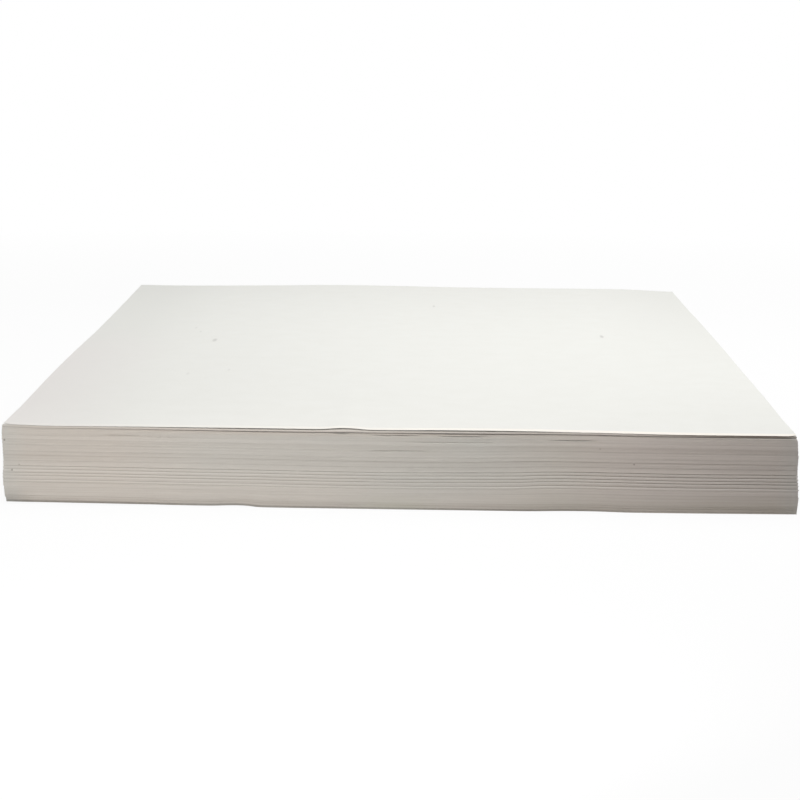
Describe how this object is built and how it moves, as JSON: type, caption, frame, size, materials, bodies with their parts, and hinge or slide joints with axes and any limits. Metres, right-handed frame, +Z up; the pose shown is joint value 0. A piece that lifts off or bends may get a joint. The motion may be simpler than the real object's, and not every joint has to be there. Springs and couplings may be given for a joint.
{
  "type": "pack of kraft paper",
  "caption": "Flat stack of large loose white kraft paper sheets with square guillotine-cut edges, unwrapped and standing free.",
  "frame": {"origin": "middle of the stack's underside, on the table it rests on", "axes": "+X to the right along the front edge (the sheet's short side), +Y away from the front (the sheet's long side), +Z up through the sheets"},
  "size_m": [0.6122, 0.9167, 0.0622],
  "materials": {
    "sheet_face": "matt, faintly mottled",
    "cut_edge": "matt, fine lines along the cut sheets"
  },
  "bodies": {
    "root": {"lift_01": "cut_edge", "lift_02": "cut_edge", "lift_03": "cut_edge", "lift_04": "cut_edge", "lift_05": "cut_edge", "lift_06": "cut_edge", "lift_07": "cut_edge", "lift_08": "cut_edge", "lift_09": "cut_edge", "lift_10": "cut_edge", "lift_11": "cut_edge", "lift_12": "cut_edge", "lift_13": "cut_edge", "lift_14": "cut_edge", "lift_15": "cut_edge", "lift_16": "cut_edge", "lift_17": "cut_edge", "lift_18": "cut_edge", "lift_19": "cut_edge", "top_sheet": "sheet_face"}
  },
  "joints": []
}
